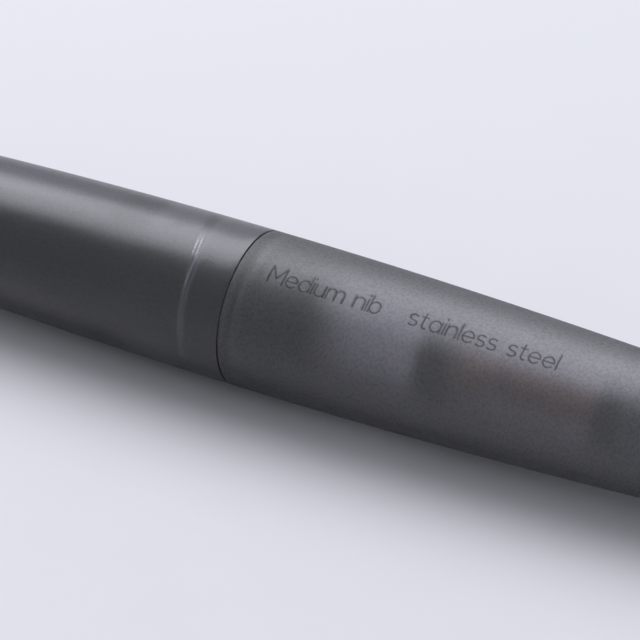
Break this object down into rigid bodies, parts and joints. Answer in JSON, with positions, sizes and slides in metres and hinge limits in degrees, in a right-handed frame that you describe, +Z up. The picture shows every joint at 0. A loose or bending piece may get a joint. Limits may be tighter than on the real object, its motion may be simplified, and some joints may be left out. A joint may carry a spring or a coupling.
{
  "type": "fountain pen",
  "caption": "Clipless fountain pen with a spindle-shaped body in smoke-tinted frosted plastic, a screw cap, a steel nib on a finned feed and a twist-piston ink converter",
  "frame": {"origin": "centre of the footprint of the closed pen, on the table it lies on", "axes": "+X along the pen towards the end of the barrel, so the cap points to -X; +Z up, and the slit side of the nib faces +Z; +Y across"},
  "size_m": [0.136, 0.0134, 0.0135],
  "materials": {
    "smoke_cap": "smoke-tinted see-through plastic, satin frosted",
    "smoke_barrel": "smoke-tinted see-through plastic, more coarsely frosted",
    "liner_plastic": "grey moulded plastic",
    "grip_plastic": "black plastic, fine satin",
    "seal_rubber": "soft black rubber",
    "housing_plastic": "black plastic, semi-gloss",
    "nib_steel": "polished stainless steel",
    "nib_point": "ground hard-metal pellet",
    "feed_plastic": "black plastic, ink-washed",
    "clear_tube": "clear plastic",
    "piston_rubber": "black elastomer",
    "rod_plastic": "tan plastic",
    "guide_plastic": "black plastic",
    "sleeve_metal": "grey plated metal",
    "clip_steel": "spring steel",
    "knob_plastic": "black ribbed plastic"
  },
  "bodies": {
    "section": {"thread_coupler": "grip_plastic", "grip_sleeve": "grip_plastic", "cap_seal": "seal_rubber", "nib_housing": "housing_plastic", "housing_seal": "seal_rubber", "nib": "nib_steel", "nib_tip": "nib_point", "feed": "feed_plastic"},
    "cap_liner": {"inner_cap": "liner_plastic"},
    "cap": {"cap_shell": "smoke_cap"},
    "barrel_ring": {"barrel_seal": "seal_rubber"},
    "barrel": {"barrel_shell": "smoke_barrel"},
    "converter": {"converter_tube": "clear_tube", "rod_guide": "guide_plastic", "converter_sleeve": "sleeve_metal"},
    "knob": {"twist_knob": "knob_plastic", "screw_spindle": "knob_plastic", "knob_clip": "clip_steel"},
    "piston": {"piston_seal": "piston_rubber", "piston_rod": "rod_plastic"}
  },
  "joints": [
    {"name": "cap_travel", "type": "slide", "parent": "section", "child": "cap_liner", "axis": [-1, 0, 0], "range_m": [0, 0.0525]},
    {"name": "cap_turn", "type": "hinge", "parent": "cap_liner", "child": "cap", "pos_m": [0, 0, 0.00675], "axis": [-1, 0, 0], "range_deg": [0, 3165]},
    {"name": "barrel_travel", "type": "slide", "parent": "section", "child": "barrel_ring", "axis": [1, 0, 0], "range_m": [0, 0.057]},
    {"name": "barrel_turn", "type": "hinge", "parent": "barrel_ring", "child": "barrel", "pos_m": [0, 0, 0.00675], "axis": [1, 0, 0], "range_deg": [0, 6865]},
    {"name": "converter_pull", "type": "slide", "parent": "section", "child": "converter", "axis": [1, 0, 0], "range_m": [0, 0.006]},
    {"name": "knob_turn", "type": "hinge", "parent": "converter", "child": "knob", "pos_m": [0, 0, 0.00675], "axis": [-1, 0, 0], "range_deg": [-353, 1040]},
    {"name": "piston_travel", "type": "slide", "parent": "converter", "child": "piston", "axis": [1, 0, 0], "range_m": [-0.0039, 0.0115]}
  ],
  "couplings": [
    {"joint": "cap_turn", "follows": "cap_travel", "rad_per_m": 1047.2},
    {"joint": "barrel_turn", "follows": "barrel_travel", "rad_per_m": 2094.4},
    {"joint": "knob_turn", "follows": "piston_travel", "rad_per_m": 1570.8}
  ]
}
